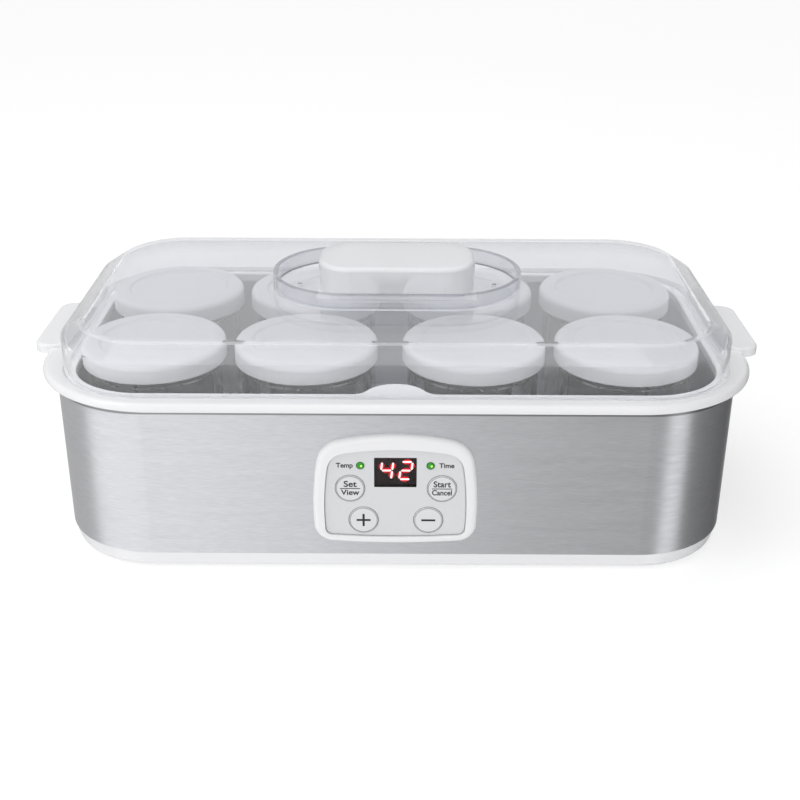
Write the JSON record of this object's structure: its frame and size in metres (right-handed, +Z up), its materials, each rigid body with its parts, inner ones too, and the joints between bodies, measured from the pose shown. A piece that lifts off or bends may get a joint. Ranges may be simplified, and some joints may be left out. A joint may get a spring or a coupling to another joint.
{
  "type": "yogurt maker",
  "caption": "Countertop yogurt maker with a heated oblong tank of lidded glass jars, a clear lift-off lid with a raised handle, and a front panel with display and keys.",
  "frame": {"origin": "on the table under the middle of the body", "axes": "+X to the user's right along the length, +Y to the back, +Z up; the control panel faces -Y"},
  "size_m": [0.3518, 0.1868, 0.1252],
  "materials": {
    "white_gloss": "glossy injection-moulded white",
    "inner_plastic": "plain moulded",
    "brushed_steel": "horizontal brushing",
    "tank_metal": "satin pressed sheet",
    "foot_rubber": "soft light grey",
    "foil_label": "matt foil",
    "plated_steel": "zinc plated",
    "clear_silicone": "translucent silicone",
    "heater_rubber": "silicone heater mat",
    "insulation_felt": "needled glass felt",
    "component_metal": "plain",
    "circuit_board": "solder mask",
    "component_yellow": "wound with tape",
    "component_blue": "moulded case",
    "component_dark": "moulded case",
    "component_white": "moulded case",
    "fuse_glass": "glass tube with metal ends",
    "lead_insulation": "silicone sleeving",
    "ribbon_insulation": "flat cable",
    "gland_rubber": "moulded nylon",
    "panel_grey": "satin printed panel",
    "smoked_window": "smoked acrylic",
    "display_black": "filled display face",
    "green_lens": "lit lens",
    "button_grey": "satin keys",
    "clear_lid": "clear moulded plastic",
    "jar_glass": "clear pressed glass",
    "cap_plastic": "satin white moulding"
  },
  "bodies": {
    "housing": {"base_shell": "white_gloss", "rim": "white_gloss", "panel_bezel": "white_gloss", "housing_front": "inner_plastic", "housing_back": "inner_plastic", "steel_band": "brushed_steel", "heating_tank": "tank_metal", "rubber_feet": "foot_rubber", "rating_plate": "foil_label", "case_screws": "plated_steel", "board_screws": "plated_steel", "panel_screws": "plated_steel", "tank_seal": "clear_silicone", "heater_mat": "heater_rubber", "insulation_pad": "insulation_felt", "temperature_sensor": "component_metal", "sensor_clip": "component_metal", "thermal_fuse": "component_metal", "power_board": "circuit_board", "control_board": "circuit_board", "transformer": "component_yellow", "relay": "component_blue", "filter_capacitor": "component_dark", "terminal_block": "component_white", "mains_fuse": "fuse_glass", "buzzer": "component_dark", "heater_leads": "lead_insulation", "sensor_leads": "lead_insulation", "ribbon_cable": "ribbon_insulation", "cord_gland": "gland_rubber", "panel_overlay": "panel_grey", "display_window": "smoked_window", "display_module": "display_black", "temp_led": "green_lens", "time_led": "green_lens", "controller_chip": "component_dark", "key_switches": "component_dark"},
    "lid": {"lid": "clear_lid"},
    "jar_1": {"jar_1": "jar_glass"},
    "cap_1": {"jar_cap_1": "cap_plastic"},
    "jar_2": {"jar_2": "jar_glass"},
    "cap_2": {"jar_cap_2": "cap_plastic"},
    "jar_3": {"jar_3": "jar_glass"},
    "cap_3": {"jar_cap_3": "cap_plastic"},
    "jar_4": {"jar_4": "jar_glass"},
    "cap_4": {"jar_cap_4": "cap_plastic"},
    "jar_5": {"jar_5": "jar_glass"},
    "cap_5": {"jar_cap_5": "cap_plastic"},
    "jar_6": {"jar_6": "jar_glass"},
    "cap_6": {"jar_cap_6": "cap_plastic"},
    "jar_7": {"jar_7": "jar_glass"},
    "cap_7": {"jar_cap_7": "cap_plastic"},
    "jar_8": {"jar_8": "jar_glass"},
    "cap_8": {"jar_cap_8": "cap_plastic"},
    "set_button": {"set_button": "button_grey"},
    "start_button": {"start_button": "button_grey"},
    "plus_button": {"plus_button": "button_grey"},
    "minus_button": {"minus_button": "button_grey"}
  },
  "joints": [
    {"name": "lid_lift", "type": "slide", "parent": "housing", "child": "lid", "axis": [0, 0, 1], "range_m": [0, 0.26]},
    {"name": "jar_1_lift", "type": "slide", "parent": "housing", "child": "jar_1", "axis": [0, 0, 1], "range_m": [0, 0.1105]},
    {"name": "cap_1_lift", "type": "slide", "parent": "jar_1", "child": "cap_1", "axis": [0, 0, 1], "range_m": [0, 0.0315]},
    {"name": "jar_2_lift", "type": "slide", "parent": "housing", "child": "jar_2", "axis": [0, 0, 1], "range_m": [0, 0.1105]},
    {"name": "cap_2_lift", "type": "slide", "parent": "jar_2", "child": "cap_2", "axis": [0, 0, 1], "range_m": [0, 0.0315]},
    {"name": "jar_3_lift", "type": "slide", "parent": "housing", "child": "jar_3", "axis": [0, 0, 1], "range_m": [0, 0.1105]},
    {"name": "cap_3_lift", "type": "slide", "parent": "jar_3", "child": "cap_3", "axis": [0, 0, 1], "range_m": [0, 0.0315]},
    {"name": "jar_4_lift", "type": "slide", "parent": "housing", "child": "jar_4", "axis": [0, 0, 1], "range_m": [0, 0.1105]},
    {"name": "cap_4_lift", "type": "slide", "parent": "jar_4", "child": "cap_4", "axis": [0, 0, 1], "range_m": [0, 0.0315]},
    {"name": "jar_5_lift", "type": "slide", "parent": "housing", "child": "jar_5", "axis": [0, 0, 1], "range_m": [0, 0.1105]},
    {"name": "cap_5_lift", "type": "slide", "parent": "jar_5", "child": "cap_5", "axis": [0, 0, 1], "range_m": [0, 0.0315]},
    {"name": "jar_6_lift", "type": "slide", "parent": "housing", "child": "jar_6", "axis": [0, 0, 1], "range_m": [0, 0.1105]},
    {"name": "cap_6_lift", "type": "slide", "parent": "jar_6", "child": "cap_6", "axis": [0, 0, 1], "range_m": [0, 0.0315]},
    {"name": "jar_7_lift", "type": "slide", "parent": "housing", "child": "jar_7", "axis": [0, 0, 1], "range_m": [0, 0.1105]},
    {"name": "cap_7_lift", "type": "slide", "parent": "jar_7", "child": "cap_7", "axis": [0, 0, 1], "range_m": [0, 0.0315]},
    {"name": "jar_8_lift", "type": "slide", "parent": "housing", "child": "jar_8", "axis": [0, 0, 1], "range_m": [0, 0.1105]},
    {"name": "cap_8_lift", "type": "slide", "parent": "jar_8", "child": "cap_8", "axis": [0, 0, 1], "range_m": [0, 0.0315]},
    {"name": "set_press", "type": "slide", "parent": "housing", "child": "set_button", "axis": [0, 1, 0], "range_m": [0, 0.0008], "stiffness_N_per_m": 900},
    {"name": "start_press", "type": "slide", "parent": "housing", "child": "start_button", "axis": [0, 1, 0], "range_m": [0, 0.0008], "stiffness_N_per_m": 900},
    {"name": "plus_press", "type": "slide", "parent": "housing", "child": "plus_button", "axis": [0, 1, 0], "range_m": [0, 0.0008], "stiffness_N_per_m": 900},
    {"name": "minus_press", "type": "slide", "parent": "housing", "child": "minus_button", "axis": [0, 1, 0], "range_m": [0, 0.0008], "stiffness_N_per_m": 900}
  ],
  "couplings": [
    {"joint": "jar_1_lift", "follows": "lid_lift", "ratio": 0.425},
    {"joint": "cap_1_lift", "follows": "lid_lift", "ratio": 0.12},
    {"joint": "jar_2_lift", "follows": "lid_lift", "ratio": 0.425},
    {"joint": "cap_2_lift", "follows": "lid_lift", "ratio": 0.12},
    {"joint": "jar_3_lift", "follows": "lid_lift", "ratio": 0.425},
    {"joint": "cap_3_lift", "follows": "lid_lift", "ratio": 0.12},
    {"joint": "jar_4_lift", "follows": "lid_lift", "ratio": 0.425},
    {"joint": "cap_4_lift", "follows": "lid_lift", "ratio": 0.12},
    {"joint": "jar_5_lift", "follows": "lid_lift", "ratio": 0.425},
    {"joint": "cap_5_lift", "follows": "lid_lift", "ratio": 0.12},
    {"joint": "jar_6_lift", "follows": "lid_lift", "ratio": 0.425},
    {"joint": "cap_6_lift", "follows": "lid_lift", "ratio": 0.12},
    {"joint": "jar_7_lift", "follows": "lid_lift", "ratio": 0.425},
    {"joint": "cap_7_lift", "follows": "lid_lift", "ratio": 0.12},
    {"joint": "jar_8_lift", "follows": "lid_lift", "ratio": 0.425},
    {"joint": "cap_8_lift", "follows": "lid_lift", "ratio": 0.12}
  ]
}
